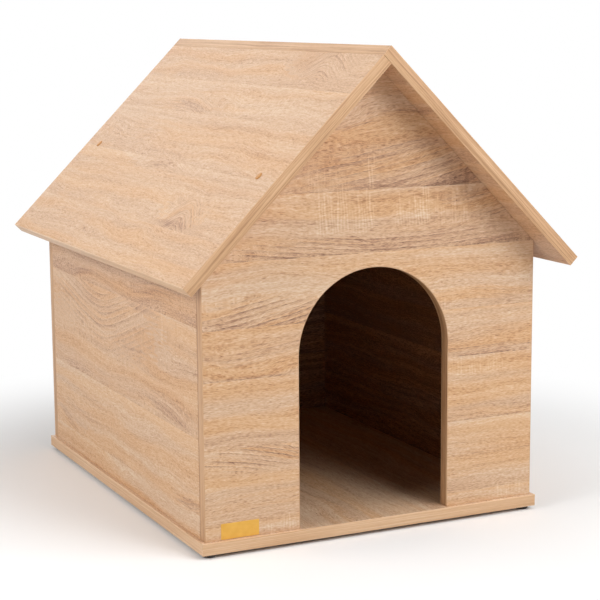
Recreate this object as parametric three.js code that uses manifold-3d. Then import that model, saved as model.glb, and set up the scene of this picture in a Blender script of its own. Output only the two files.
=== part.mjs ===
// A flat-pack dog house of melamine-faced chipboard with an open arched doorway.
//
// Two house-shaped gable panels and two side walls stand on a floor panel with a small lip, which
// rests on four nail-on glides. Two roof panels butt at the ridge: the right one runs over the
// sawn end of the left one. Every edge that shows has an edging strip glued to it. Confirmat
// screws hold the roof to the gables and the walls to the floor, a cam connector and a dowel hold
// each upright corner, and dowels line up the ridge.
//
// Millimetres, +Z up. The doorway faces -Y. The origin is on the ground under the centre of the
// house.
import * as THREE from "three";
import { mergeVertices } from "three/addons/utils/BufferGeometryUtils.js";
import Module from "manifold-3d";

const wasm = await Module();
wasm.setup();

// ---- Driving dimensions ----------------------------------------------------------------------

// House
const boardThickness = 18;
const bodyWidth = 550; // over the finished upright edges of the gables
const bodyDepth = 700; // over the outer faces of the gables
const wallHeight = 400; // from the floor to the roof, at a side wall's outer face
const roofPitchDegrees = 45;
const gableOverhang = 50; // roof beyond each gable's outer face
const eaveOverhang = 48; // roof beyond a side wall's outer face, down the slope
const floorLip = 6; // floor panel beyond the walls, on every side

// Doorway, clear between its edging
const doorWidth = 248;
const doorHeight = 379; // from the floor to the crown of the arch

// Edging strips
const edgingThickness = 1;
const edgingRound = 0.8; // radius of a strip's two outer corners
const glueLine = 0.1;

// Clearances
const seatGap = 0.3; // between pieces that rest on each other
const holeClearance = 0.3; // round a fastener in its hole

// Glides under the floor panel
const glideHeight = 6;
const glideRadius = 10;
const glideRimRound = 2.5;
const glideInset = 15; // from the floor panel's edges to a glide's centre
const glideNailRadius = 1.4;
const glideNailLength = 12; // in the floor panel

// Confirmat screws
const screwLength = 50;
const screwHeadRadius = 5;
const screwRimHeight = 0.6;
const screwHeadDepth = 3;
const screwNeckRadius = 3.5;
const screwNeckLength = 8;
const screwCoreRadius = 2.6;
const screwTipRadius = 1;
const screwTipLength = 3;
const screwSink = 0.2; // from the board's face down to the head
const socketRadius = 2.3; // of the hexagon's corners
const socketDepth = 4;
const roofScrewFromEave = 200; // up the slope from the eave
const wallScrewInset = 130; // from a gable's outer face to a side wall's screw in the floor

// Covers on the roof screws
const coverRadius = 6.2;
const coverRimHeight = 0.5;
const coverCrown = 0.8; // rise of the dome above the rim
const coverPegLength = 2.5;

// Cam connectors in the upright corners
const camBelowEave = 80; // from the side walls' top edge
const camRadius = 7.5;
const camDepth = 13;
const camFromWallEnd = 34;
const camHeadRoom = 1; // round the bolt's head, inside the cam
const camCrossWidth = 1.6; // the screwdriver's cross in the cam's face
const camCrossLength = 10;
const camCrossDepth = 2.2;
const boltThreadRadius = 2.5;
const boltThreadLength = 11;
const boltCollarRadius = 3.8;
const boltCollarLength = 1.5;
const boltShankRadius = 3;
const boltNeckRadius = 2;
const boltHeadRadius = 3.2;
const boltHeadLength = 3;

// Dowels
const dowelRadius = 4;
const dowelLength = 30;
const dowelChamfer = 1;
const dowelShareInFace = 11; // the part of a dowel in the board whose face it enters
const ridgeDowelCount = 3;
const ridgeDowelInset = 140; // from the roof's front and rear edges to the outer dowels

// Smoothness of round shapes
const archSegments = 48;
const roundSegments = 24;
const hiddenSegments = 12;
const socketSides = 6;
const edgingRoundSteps = 3;
const coverSteps = 4;
const glideRimSteps = 3;

// ---- Worked-out places -----------------------------------------------------------------------

const pitch = THREE.MathUtils.degToRad(roofPitchDegrees);
const edgingStand = edgingThickness + glueLine; // from a board's sawn edge to its finished edge
const halfWidth = bodyWidth / 2;
const halfDepth = bodyDepth / 2;
const floorTop = glideHeight + boardThickness;
const ridgeRise = wallHeight + halfWidth * Math.tan(pitch); // roof's inner apex above the floor
const seatDrop = seatGap / Math.cos(pitch); // the seat's gap under a sloping roof, measured upright
const slopeLength = halfWidth / Math.cos(pitch) + eaveOverhang; // inner apex to eave
const roofDepth = bodyDepth + 2 * gableOverhang;
const floorWidth = bodyWidth + 2 * floorLip;
const floorDepth = bodyDepth + 2 * floorLip;
const wallCentre = halfWidth - boardThickness / 2; // x of a side wall's middle
const gableCentre = halfDepth - boardThickness / 2; // y of a gable's middle
const gableInner = halfDepth - boardThickness; // y of a gable's inner face
const ridgeRun = boardThickness / Math.sin(2 * pitch); // right panel's reach past the apex
const ridgeLean = boardThickness / Math.tan(2 * pitch); // slant of the left panel's ridge end
const camHeight = wallHeight - camBelowEave; // above the floor
const roofScrewDown = slopeLength - roofScrewFromEave; // down the slope from the inner apex
const doorSpring = doorHeight - doorWidth / 2;
const doorSawn = doorWidth / 2 + edgingStand; // half the doorway's width in the bare board

// ---- Materials -------------------------------------------------------------------------------

const material = (color, roughness, metalness = 0) =>
  new THREE.MeshStandardMaterial({ color, roughness, metalness });
const oakBoard = material(0xd9b48c, 0.55);
const oakEdging = material(0xd2aa7c, 0.5);
const coverPlastic = material(0xc98a3c, 0.45);
const glidePlastic = material(0x241c1a, 0.6);
const zincSteel = material(0xb4b2a8, 0.35, 1);
const zincAlloy = material(0xa3a3a0, 0.45, 1);
const beech = material(0xd8b68a, 0.75);

// ---- Solids ----------------------------------------------------------------------------------

// A closed three.js geometry as a manifold-3d solid.
function solidOf(geometry) {
  const bare = geometry.index ? geometry.toNonIndexed() : geometry.clone();
  bare.deleteAttribute("normal");
  bare.deleteAttribute("uv");
  const merged = mergeVertices(bare, 1e-4);
  const corners = merged.index.array;
  const triVerts = [];
  for (let i = 0; i < corners.length; i += 3) {
    const [a, b, c] = corners.slice(i, i + 3);
    if (a !== b && b !== c && c !== a) triVerts.push(a, b, c);
  }
  const vertProperties = merged.attributes.position.array;
  return new wasm.Manifold(
    new wasm.Mesh({ numProp: 3, vertProperties, triVerts: new Uint32Array(triVerts) }),
  );
}

// A manifold-3d solid as a flat-shaded three.js geometry.
function geometryOf(solid) {
  const { vertProperties, triVerts } = solid.getMesh();
  const geometry = new THREE.BufferGeometry();
  geometry.setAttribute("position", new THREE.BufferAttribute(vertProperties, 3));
  geometry.setIndex(new THREE.BufferAttribute(triVerts, 1));
  const flat = geometry.toNonIndexed();
  flat.computeVertexNormals();
  return flat;
}

function cut(blank, cutters) {
  return geometryOf(cutters.reduce((left, c) => left.subtract(solidOf(c)), solidOf(blank)));
}

function join(...geometries) {
  return geometryOf(geometries.map(solidOf).reduce((whole, part) => whole.add(part)));
}

// A box given by its lowest and highest corners.
function block([x0, y0, z0], [x1, y1, z1]) {
  const box = new THREE.BoxGeometry(x1 - x0, y1 - y0, z1 - z0);
  return box.translate((x0 + x1) / 2, (y0 + y1) / 2, (z0 + z1) / 2);
}

// A solid of revolution round +Y from [radius, height] pairs, bottom to top.
function turned(profile, segments = hiddenSegments) {
  return new THREE.LatheGeometry(
    profile.map(([radius, height]) => new THREE.Vector2(radius, height)),
    segments,
  );
}

// Turns a shape made round +Y so that it points along `direction` from `origin`.
function aim(geometry, origin, direction) {
  const turn = new THREE.Quaternion();
  turn.setFromUnitVectors(new THREE.Vector3(0, 1, 0), direction);
  return geometry.applyQuaternion(turn).translate(origin.x, origin.y, origin.z);
}

// Skins a row of rings, each an equal list of points, and closes both ends.
function loft(rings, section) {
  const count = section.length;
  const faces = [];
  for (let r = 0; r + 1 < rings.length; r++) {
    for (let i = 0; i < count; i++) {
      const a = r * count + i;
      const b = r * count + ((i + 1) % count);
      faces.push(a, b, b + count, a, b + count, a + count);
    }
  }
  const last = (rings.length - 1) * count;
  for (const [a, b, c] of THREE.ShapeUtils.triangulateShape(section, [])) {
    faces.push(c, b, a);
    faces.push(last + a, last + b, last + c);
  }
  const geometry = new THREE.BufferGeometry().setFromPoints(rings.flat());
  geometry.setIndex(faces);
  const flat = geometry.toNonIndexed();
  flat.computeVertexNormals();
  return flat;
}

// ---- Fasteners -------------------------------------------------------------------------------

// Each fastener starts at its own zero and points along +Y.

// A plain round bar or bore along +Y.
function rod(radius, from, to, segments = hiddenSegments) {
  return turned(
    [
      [0, from],
      [radius, from],
      [radius, to],
      [0, to],
    ],
    segments,
  );
}

// The screw's outline from its head at `top` to its tip, wider by `grow` all round for its hole.
function screwProfile(top, grow) {
  const neckEnd = screwHeadDepth + screwNeckLength;
  const taper = screwNeckRadius - screwCoreRadius;
  return [
    [0, top],
    [screwHeadRadius + grow, top],
    [screwHeadRadius + grow, grow],
    [screwNeckRadius + grow, screwHeadDepth + grow],
    [screwNeckRadius + grow, neckEnd + grow],
    [screwCoreRadius + grow, neckEnd + taper + grow],
    [screwCoreRadius + grow, screwLength - screwTipLength],
    [screwTipRadius + grow, screwLength + grow],
    [0, screwLength + grow],
  ];
}

function screw() {
  const rim = screwProfile(0, 0);
  rim[2] = [screwHeadRadius, screwRimHeight];
  const socket = rod(socketRadius, -seatGap, socketDepth, socketSides);
  return cut(turned(rim), [socket]);
}

// The hole reaches out past the board's face.
const screwHole = () => turned(screwProfile(-screwSink - seatGap, holeClearance));

// A domed disc that lies on the board with its peg in the screw's socket.
function cover() {
  const dome = [
    [0, 0],
    [coverRadius, 0],
  ];
  for (let i = 0; i < coverSteps; i++) {
    const angle = (i / coverSteps) * (Math.PI / 2);
    dome.push([coverRadius * Math.cos(angle), coverRimHeight + coverCrown * Math.sin(angle)]);
  }
  dome.push([0, coverRimHeight + coverCrown]);
  const pegRadius = socketRadius - 2 * holeClearance;
  const peg = rod(pegRadius, -coverPegLength, coverRimHeight / 2, socketSides);
  return join(turned(dome, roundSegments), peg);
}

function dowel() {
  return turned([
    [0, 0],
    [dowelRadius - dowelChamfer, 0],
    [dowelRadius, dowelChamfer],
    [dowelRadius, dowelLength - dowelChamfer],
    [dowelRadius - dowelChamfer, dowelLength],
    [0, dowelLength],
  ]);
}

const dowelHole = () =>
  rod(dowelRadius + holeClearance, -holeClearance, dowelLength + holeClearance);

// A cam's bolt has its zero on the gable's inner face. Its thread goes back into the gable. The
// collar lies in the mouth of the hole in the side wall's end, and the head inside the cam.
function bolt() {
  const collarEnd = seatGap + boltCollarLength;
  const neckStart = camFromWallEnd - camRadius;
  const headStart = camFromWallEnd + seatGap - boltHeadLength / 2;
  const headEnd = headStart + boltHeadLength;
  return turned([
    [0, -boltThreadLength],
    [boltThreadRadius, -boltThreadLength],
    [boltThreadRadius, seatGap],
    [boltCollarRadius, seatGap],
    [boltCollarRadius, collarEnd],
    [boltShankRadius, collarEnd],
    [boltShankRadius, neckStart],
    [boltNeckRadius, neckStart],
    [boltNeckRadius, headStart],
    [boltHeadRadius, headStart],
    [boltHeadRadius, headEnd],
    [0, headEnd],
  ]);
}

const boltHoleInGable = () =>
  rod(boltThreadRadius + holeClearance, -boltThreadLength - holeClearance, seatGap);

const boltHoleInWall = () =>
  rod(Math.max(boltCollarRadius, boltShankRadius) + holeClearance, -seatGap, camFromWallEnd);

// A cam's face is at zero and its floor along +Y. Its bolt comes in along X, from `side`.
function cam(side) {
  const boltAxis = boardThickness / 2;
  const chamberHalf = boltHeadRadius + holeClearance;
  const slotHalf = boltNeckRadius + holeClearance;
  const mouth = side * (camRadius + seatGap);
  const crossHalf = camCrossLength / 2;
  const crossNarrow = camCrossWidth / 2;
  const chamberRadius = Math.hypot(boltHeadRadius, boltHeadLength / 2) + camHeadRoom;
  const chamber = rod(chamberRadius, boltAxis - chamberHalf, boltAxis + chamberHalf);
  const slot = block(
    [Math.min(0, mouth), boltAxis - slotHalf, -slotHalf],
    [Math.max(0, mouth), boltAxis + slotHalf, slotHalf],
  );
  const cross = [
    block([-crossHalf, -seatGap, -crossNarrow], [crossHalf, camCrossDepth, crossNarrow]),
    block([-crossNarrow, -seatGap, -crossHalf], [crossNarrow, camCrossDepth, crossHalf]),
  ];
  return cut(rod(camRadius, 0, camDepth, roundSegments), [chamber, slot, ...cross]);
}

const camBore = () =>
  rod(camRadius + holeClearance, -seatGap, camDepth + holeClearance, roundSegments);

// A glide's sole is at zero, with a rounded rim, and its nail points up.
function glide() {
  const top = glideHeight - seatGap;
  const nailTip = glideHeight + glideNailLength;
  const round = Math.min(glideRimRound, top);
  const rim = [];
  for (let i = 0; i <= glideRimSteps; i++) {
    const angle = (i / glideRimSteps) * (Math.PI / 2);
    rim.push([glideRadius - round * (1 - Math.sin(angle)), round * (1 - Math.cos(angle))]);
  }
  return turned(
    [
      [0, 0],
      ...rim,
      [glideRadius, top],
      [glideNailRadius, top],
      [glideNailRadius, nailTip - 2 * glideNailRadius],
      [0, nailTip],
    ],
    roundSegments,
  );
}

const glideNailHole = () =>
  rod(glideNailRadius + holeClearance, -seatGap, glideNailLength + holeClearance);

// ---- Edging ----------------------------------------------------------------------------------

// Section of a strip: x runs out from the board's edge and y across its thickness.
function edgingSection() {
  const half = boardThickness / 2;
  const round = Math.min(edgingRound, edgingThickness);
  const flat = edgingThickness - round;
  const lower = [new THREE.Vector2(0, -half)];
  for (let i = 0; i <= edgingRoundSteps; i++) {
    const angle = (i / edgingRoundSteps) * (Math.PI / 2);
    const x = flat + round * Math.sin(angle);
    const y = -half + round * (1 - Math.cos(angle));
    lower.push(new THREE.Vector2(x, y));
  }
  const upper = lower.map(({ x, y }) => new THREE.Vector2(x, -y)).reverse();
  return [...lower, ...upper];
}

// A strip along stops, each { at, out, across }: a point on the board's edge at mid-thickness, the
// direction away from the board, and the direction through the board's thickness.
function edgingStrip(stops) {
  const section = edgingSection();
  const [{ at, out, across }, { at: next }] = stops;
  const along = next.clone().sub(at);
  const facesOut = out.clone().cross(across).dot(along) > 0;
  const ordered = facesOut ? stops : [...stops].reverse();
  const rings = ordered.map((stop) =>
    section.map(({ x, y }) =>
      stop.at.clone().addScaledVector(stop.out, x + glueLine).addScaledVector(stop.across, y),
    ),
  );
  return loft(rings, section);
}

const straightStrip = (from, to, out, across) =>
  edgingStrip([from, to].map((at) => ({ at, out, across })));

// ---- Assembly helpers ------------------------------------------------------------------------

const vector = (x, y, z) => new THREE.Vector3(x, y, z);
const axisX = vector(1, 0, 0);
const axisY = vector(0, 1, 0);
const axisZ = vector(0, 0, 1);
const sides = [
  ["left", -1],
  ["right", 1],
];
const ends = [
  ["front", -1],
  ["rear", 1],
];

function addPiece(group, name, geometry, finish, position = vector(0, 0, 0)) {
  const mesh = new THREE.Mesh(geometry, finish);
  mesh.name = name;
  mesh.position.copy(position);
  group.add(mesh);
  return mesh;
}

// A board made round its own origin, put at `position`, and cut by holes given in its group.
function addBoard(group, name, blank, position, holes) {
  const local = holes.map((hole) => hole.translate(-position.x, -position.y, -position.z));
  return addPiece(group, name, cut(blank, local), oakBoard, position);
}

// A fastener along `direction` from `position`.
function addFastener(group, name, geometry, finish, position, direction) {
  const mesh = addPiece(group, name, geometry, finish, position);
  mesh.quaternion.setFromUnitVectors(axisY, direction);
  return mesh;
}

// ---- Where the fasteners are, in the body's frame (origin on the floor's top) ----------------

// Screws up through the floor panel: two into each gable, in the middle of the legs beside the
// doorway, and two into each side wall.
const screwUnderFloor = screwSink - boardThickness;
const gableLegCentre = (doorWidth / 2 + halfWidth) / 2;
const floorScrews = [];
for (const [end, y] of ends) {
  for (const [side, x] of sides) {
    floorScrews.push({
      name: `floor_screw_${end}_${side}`,
      board: `${end}_gable_panel`,
      at: vector(x * gableLegCentre, y * gableCentre, screwUnderFloor),
    });
    floorScrews.push({
      name: `floor_screw_${side}_wall_${end}`,
      board: `${side}_wall_panel`,
      at: vector(x * wallCentre, y * (halfDepth - wallScrewInset), screwUnderFloor),
    });
  }
}

// Holes for the screws that enter one board from the floor panel.
const floorScrewHolesIn = (name) =>
  floorScrews.filter(({ board }) => board === name).map(({ at }) => aim(screwHole(), at, axisZ));

// A cam and its bolt hold each upright corner near the top, and a dowel halfway up to the cam
// lines it up.
const corners = [];
for (const [end, y] of ends) {
  for (const [side, x] of sides) {
    corners.push({
      end,
      side,
      x,
      y,
      inward: vector(0, -y, 0),
      boltAt: vector(x * wallCentre, y * gableInner, camHeight),
      dowelAt: vector(x * wallCentre, y * (gableInner + dowelShareInFace), camHeight / 2),
      camAt: vector(
        x * (halfWidth - boardThickness),
        y * (gableInner - seatGap - camFromWallEnd),
        camHeight,
      ),
    });
  }
}

// Roof screws go square to the slope into a gable's sloping edge. The head's top is this far out
// from the roof's underside.
const screwHeadOut = boardThickness - screwSink;

// A gable's hole for one, from the slope's own directions: `down` it and `out` from it.
function roofScrewHoleInGable(sideSign, endSign) {
  const down = vector(sideSign * Math.cos(pitch), 0, -Math.sin(pitch));
  const out = vector(sideSign * Math.sin(pitch), 0, Math.cos(pitch));
  const at = vector(0, endSign * gableCentre, ridgeRise)
    .addScaledVector(down, roofScrewDown)
    .addScaledVector(out, screwHeadOut);
  return aim(screwHole(), at, out.negate());
}

// ---- Body ------------------------------------------------------------------------------------

const house = new THREE.Group();
const body = new THREE.Group();
body.position.z = floorTop;
house.add(body);

// Floor panel and its edging. The front and rear strips run over the ends of the side strips.
function addFloor() {
  const coreX = floorWidth / 2 - edgingStand;
  const coreY = floorDepth / 2 - edgingStand;
  const half = boardThickness / 2;
  const blank = block([-coreX, -coreY, -half], [coreX, coreY, half]);
  const nailHoles = [];
  for (const [end, y] of ends) {
    for (const [side, x] of sides) {
      const at = vector(
        x * (floorWidth / 2 - glideInset),
        y * (floorDepth / 2 - glideInset),
        -boardThickness,
      );
      nailHoles.push(aim(glideNailHole(), at, axisZ));
      const sole = at.clone().setZ(-floorTop);
      addFastener(body, `glide_${end}_${side}`, glide(), glidePlastic, sole, axisZ);
    }
  }
  const screwHoles = floorScrews.map(({ at }) => aim(screwHole(), at, axisZ));
  addBoard(body, "floor_panel", blank, vector(0, 0, -half), [...nailHoles, ...screwHoles]);
  for (const [end, y] of ends) {
    const strip = straightStrip(
      vector(-floorWidth / 2, 0, 0),
      vector(floorWidth / 2, 0, 0),
      vector(0, y, 0),
      axisZ,
    );
    addPiece(body, `floor_edging_${end}`, strip, oakEdging, vector(0, y * coreY, -half));
  }
  for (const [side, x] of sides) {
    const strip = straightStrip(vector(0, -coreY, 0), vector(0, coreY, 0), vector(x, 0, 0), axisZ);
    addPiece(body, `floor_edging_${side}`, strip, oakEdging, vector(x * coreX, 0, -half));
  }
  for (const { name, at } of floorScrews) {
    addFastener(body, name, screw(), zincSteel, at, axisZ);
  }
}

// The outline of a gable's board, from the floor to the roof, without its edging.
function gableOutline(withDoor) {
  const side = halfWidth - edgingStand;
  const foot = seatGap;
  const eave = wallHeight - seatDrop + edgingStand * Math.tan(pitch);
  const outline = new THREE.Shape();
  outline.moveTo(-side, foot);
  if (withDoor) {
    outline.lineTo(-doorSawn, foot);
    outline.lineTo(-doorSawn, doorSpring);
    outline.absarc(0, doorSpring, doorSawn, Math.PI, 0, true);
    outline.lineTo(doorSawn, foot);
  }
  outline.lineTo(side, foot);
  outline.lineTo(side, eave);
  outline.lineTo(0, ridgeRise - seatDrop);
  outline.lineTo(-side, eave);
  outline.closePath();
  return outline;
}

// Adds a gable with the edging on its upright edges.
function addGable(end, endSign) {
  const blank = new THREE.ExtrudeGeometry(gableOutline(end === "front"), {
    depth: boardThickness,
    bevelEnabled: false,
    curveSegments: archSegments / 2, // a quarter turn's share, as an arc takes it twice
  });
  blank.rotateX(Math.PI / 2).translate(0, boardThickness / 2, 0);
  const name = `${end}_gable_panel`;
  const mine = corners.filter((corner) => corner.end === end);
  addBoard(body, name, blank, vector(0, endSign * gableCentre, 0), [
    ...sides.map(([, x]) => roofScrewHoleInGable(x, endSign)),
    ...floorScrewHolesIn(name),
    ...mine.map(({ boltAt, inward }) => aim(boltHoleInGable(), boltAt, inward)),
    ...mine.map(({ dowelAt, inward }) => aim(dowelHole(), dowelAt, inward)),
  ]);
  for (const [side, x] of sides) {
    const strip = straightStrip(
      vector(0, 0, seatGap),
      vector(0, 0, wallHeight - seatDrop),
      vector(x, 0, 0),
      axisY,
    );
    const place = vector(x * (halfWidth - edgingStand), endSign * gableCentre, 0);
    addPiece(body, `${end}_gable_edging_${side}`, strip, oakEdging, place);
  }
}

// One strip of edging up one jamb, round the arch and down the other jamb.
function addDoorEdging() {
  const across = axisY;
  const stops = [{ at: vector(-doorSawn, 0, seatGap), out: axisX, across }];
  for (let i = 0; i <= archSegments; i++) {
    const angle = Math.PI * (1 - i / archSegments);
    const out = vector(-Math.cos(angle), 0, -Math.sin(angle));
    const at = vector(0, 0, doorSpring).addScaledVector(out, -doorSawn);
    stops.push({ at, out, across });
  }
  stops.push({ at: vector(doorSawn, 0, seatGap), out: axisX.clone().negate(), across });
  addPiece(body, "doorway_edging", edgingStrip(stops), oakEdging, vector(0, -gableCentre, 0));
}

// A side wall stands between the gables, flush with their upright edges.
function addWall(side, sideSign) {
  const half = boardThickness / 2;
  const halfLength = gableInner - seatGap;
  const top = wallHeight - seatDrop;
  const blank = block([-half, -halfLength, seatGap], [half, halfLength, top]);
  const name = `${side}_wall_panel`;
  const mine = corners.filter((corner) => corner.side === side);
  addBoard(body, name, blank, vector(sideSign * wallCentre, 0, 0), [
    ...floorScrewHolesIn(name),
    ...mine.map(({ camAt, x }) => aim(camBore(), camAt, vector(x, 0, 0))),
    ...mine.map(({ boltAt, inward }) => aim(boltHoleInWall(), boltAt, inward)),
    ...mine.map(({ dowelAt, inward }) => aim(dowelHole(), dowelAt, inward)),
  ]);
}

function addCornerFittings() {
  for (const { end, side, x, y, inward, boltAt, dowelAt, camAt } of corners) {
    const corner = `${end}_${side}`;
    addFastener(body, `cam_bolt_${corner}`, bolt(), zincSteel, boltAt, inward);
    addFastener(body, `corner_dowel_${corner}`, dowel(), beech, dowelAt, inward);
    // Turned to point along X, a cam has its own X along -Y on the right and +Y on the left.
    addFastener(body, `cam_${corner}`, cam(-x * y), zincAlloy, camAt, vector(x, 0, 0));
  }
}

addFloor();
for (const [end, y] of ends) addGable(end, y);
addDoorEdging();
for (const [side, x] of sides) addWall(side, x);
addCornerFittings();

// ---- Roof ------------------------------------------------------------------------------------

// Each slope has its own frame at the inner apex: x runs down the slope (up it on the left side),
// z out from the panel's underside.
const roof = new THREE.Group();
roof.position.z = floorTop + ridgeRise;
house.add(roof);
const slopes = {};
for (const [side, x] of sides) {
  slopes[side] = new THREE.Group();
  slopes[side].rotation.y = x * pitch;
  roof.add(slopes[side]);
}
const inwards = axisZ.clone().negate(); // square through a roof panel from its face
const halfRun = roofDepth / 2 - edgingStand; // half the roof board's length, along the ridge

// Where each panel's board ends at the ridge, at mid-thickness, and the direction of that end
// through the board. The left one's end is cut to lie against the right panel's underside.
const ridgeEnds = {
  left: {
    x: -seatGap - ridgeLean / 2,
    across: vector(-ridgeLean / boardThickness, 0, 1),
    finished: -seatGap - ridgeLean / 2,
  },
  right: { x: edgingStand - ridgeRun, across: axisZ, finished: -ridgeRun },
};

// Ridge dowels stand square to the right panel, in the middle of the left panel's sawn end.
const ridgeDowels = [];
for (let i = 0; i < ridgeDowelCount; i++) {
  const share = ridgeDowelCount > 1 ? (2 * i) / (ridgeDowelCount - 1) - 1 : 0;
  const y = share * (roofDepth / 2 - ridgeDowelInset);
  ridgeDowels.push({
    name: `ridge_dowel_${i + 1}`,
    at: vector(-ridgeRun / 2, y, dowelShareInFace),
  });
}

// The dowels' holes in one panel. They are placed in the right slope's frame, and the left panel
// sees that frame turned by twice the pitch.
function ridgeDowelHolesIn(side) {
  const turn = side === "right" ? 0 : 2 * pitch;
  const seen = (v) => v.clone().applyAxisAngle(axisY, turn);
  return ridgeDowels.map(({ at }) => aim(dowelHole(), seen(at), seen(inwards)));
}

const roofScrewPlace = (sideSign, endSign) =>
  vector(sideSign * roofScrewDown, endSign * gableCentre, screwHeadOut);

function addRoofPanel(side, sideSign) {
  const { x: ridge, across } = ridgeEnds[side];
  const lean = (across.x * boardThickness) / 2;
  const eave = sideSign * (slopeLength - edgingStand);
  const profile = new THREE.Shape();
  profile.moveTo(ridge - lean, 0);
  profile.lineTo(eave, 0);
  profile.lineTo(eave, boardThickness);
  profile.lineTo(ridge + lean, boardThickness);
  profile.closePath();
  const blank = new THREE.ExtrudeGeometry(profile, { depth: 2 * halfRun, bevelEnabled: false });
  blank.rotateX(Math.PI / 2).translate(0, halfRun, 0);
  const screwHoles = ends.map(([, y]) => aim(screwHole(), roofScrewPlace(sideSign, y), inwards));
  addBoard(slopes[side], `${side}_roof_panel`, blank, vector(0, 0, 0), [
    ...screwHoles,
    ...ridgeDowelHolesIn(side),
  ]);
}

// The front and rear strips run the whole slope, over the ends of the eave and ridge strips.
function addRoofEdging(side, sideSign) {
  const slope = slopes[side];
  const middle = boardThickness / 2;
  const { x: ridge, across, finished } = ridgeEnds[side];
  for (const [end, y] of ends) {
    const out = vector(0, y, 0);
    const strip = edgingStrip([
      { at: vector(finished, 0, 0), out, across },
      { at: vector(sideSign * slopeLength, 0, 0), out, across: axisZ },
    ]);
    addPiece(slope, `${side}_roof_edging_${end}`, strip, oakEdging, vector(0, y * halfRun, middle));
  }
  const lengthwise = (out) =>
    straightStrip(vector(0, -halfRun, 0), vector(0, halfRun, 0), out, axisZ);
  const eaveAt = vector(sideSign * (slopeLength - edgingStand), 0, middle);
  const eaveStrip = lengthwise(vector(sideSign, 0, 0));
  addPiece(slope, `${side}_roof_edging_eave`, eaveStrip, oakEdging, eaveAt);
  if (side === "right") {
    const ridgeStrip = lengthwise(vector(-1, 0, 0));
    addPiece(slope, "right_roof_edging_ridge", ridgeStrip, oakEdging, vector(ridge, 0, middle));
  }
}

function addRoofScrews(side, sideSign) {
  const slope = slopes[side];
  for (const [end, y] of ends) {
    const at = roofScrewPlace(sideSign, y);
    addFastener(slope, `roof_screw_${end}_${side}`, screw(), zincSteel, at, inwards);
    const face = at.clone().setZ(boardThickness + seatGap);
    addFastener(slope, `screw_cover_${end}_${side}`, cover(), coverPlastic, face, axisZ);
  }
}

for (const [side, x] of sides) {
  addRoofPanel(side, x);
  addRoofEdging(side, x);
  addRoofScrews(side, x);
}
for (const { name, at } of ridgeDowels) {
  addFastener(slopes.right, name, dowel(), beech, at, inwards);
}

export default house;
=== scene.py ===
import math
import bpy
from mathutils import Matrix, Vector


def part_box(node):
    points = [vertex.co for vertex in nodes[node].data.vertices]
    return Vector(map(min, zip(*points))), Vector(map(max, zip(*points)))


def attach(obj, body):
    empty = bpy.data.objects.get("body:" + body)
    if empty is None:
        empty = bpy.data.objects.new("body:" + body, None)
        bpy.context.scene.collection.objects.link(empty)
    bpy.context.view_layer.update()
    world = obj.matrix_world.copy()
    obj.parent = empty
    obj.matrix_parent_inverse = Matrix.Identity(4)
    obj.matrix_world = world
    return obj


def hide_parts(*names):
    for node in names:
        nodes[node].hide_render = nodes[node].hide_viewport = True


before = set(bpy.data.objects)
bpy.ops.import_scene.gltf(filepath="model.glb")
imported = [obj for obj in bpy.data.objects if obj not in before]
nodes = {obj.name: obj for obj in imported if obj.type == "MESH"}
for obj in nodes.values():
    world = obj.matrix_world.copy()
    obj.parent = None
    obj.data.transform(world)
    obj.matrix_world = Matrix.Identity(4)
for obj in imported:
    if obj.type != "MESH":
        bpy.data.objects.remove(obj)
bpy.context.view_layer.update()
body = "root"  # nothing on this house moves, so every piece rides on the one body

perMetre = 1000  # grain is worked out in millimetres, pieces in metres
sideSigns = {"left": -1, "right": 1}
endSigns = {"front": -1, "rear": 1}
endsAndSides = [(end, side) for end in endSigns for side in sideSigns]
acrossX, acrossY, upright = Vector((1, 0, 0)), Vector((0, 1, 0)), Vector((0, 0, 1))


def middleOf(node):
    low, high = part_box(node)
    return (low + high) / 2


def srgb(red, green, blue):  # a colour as read on screen, 0 to 255, in Blender's linear values
    def linear(level):
        share = level / 255
        return share / 12.92 if share <= 0.04045 else ((share + 0.055) / 1.055) ** 2.4
    return (linear(red), linear(green), linear(blue), 1.0)


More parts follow.
